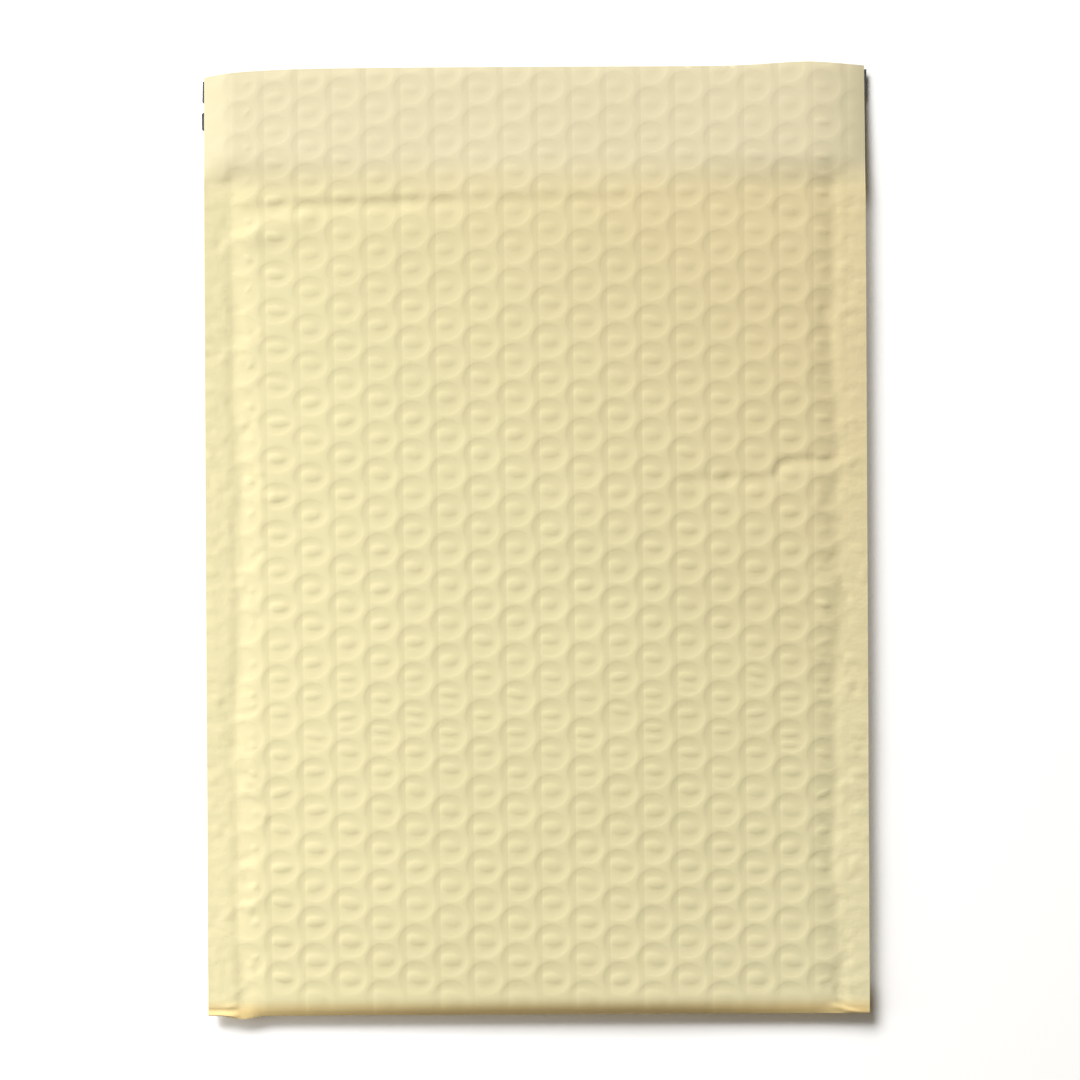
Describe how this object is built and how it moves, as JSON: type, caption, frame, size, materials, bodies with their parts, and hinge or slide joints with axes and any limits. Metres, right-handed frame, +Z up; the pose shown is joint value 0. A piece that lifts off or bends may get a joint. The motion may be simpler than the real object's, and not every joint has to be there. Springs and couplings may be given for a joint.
{
  "type": "padded mailer",
  "caption": "Empty poly mailer with a bubble lining, folded at the bottom and welded along both sides, lying face down with its glue-strip flap open.",
  "frame": {"origin": "on the table, under the middle of the open envelope", "axes": "+X across the envelope, +Y from the folded bottom to the flap, +Z up, out of the back panel"},
  "size_m": [0.2182, 0.309, 0.008],
  "materials": {
    "outer_film": "matte pale cream film, embossed by the bubbles behind it",
    "hot_melt_glue": "tacky pale amber glue",
    "glossy_liner": "thin dark glossy release film"
  },
  "bodies": {
    "root": {"padded_envelope": "outer_film", "adhesive_strip": "hot_melt_glue", "release_liner": "glossy_liner"}
  },
  "joints": []
}
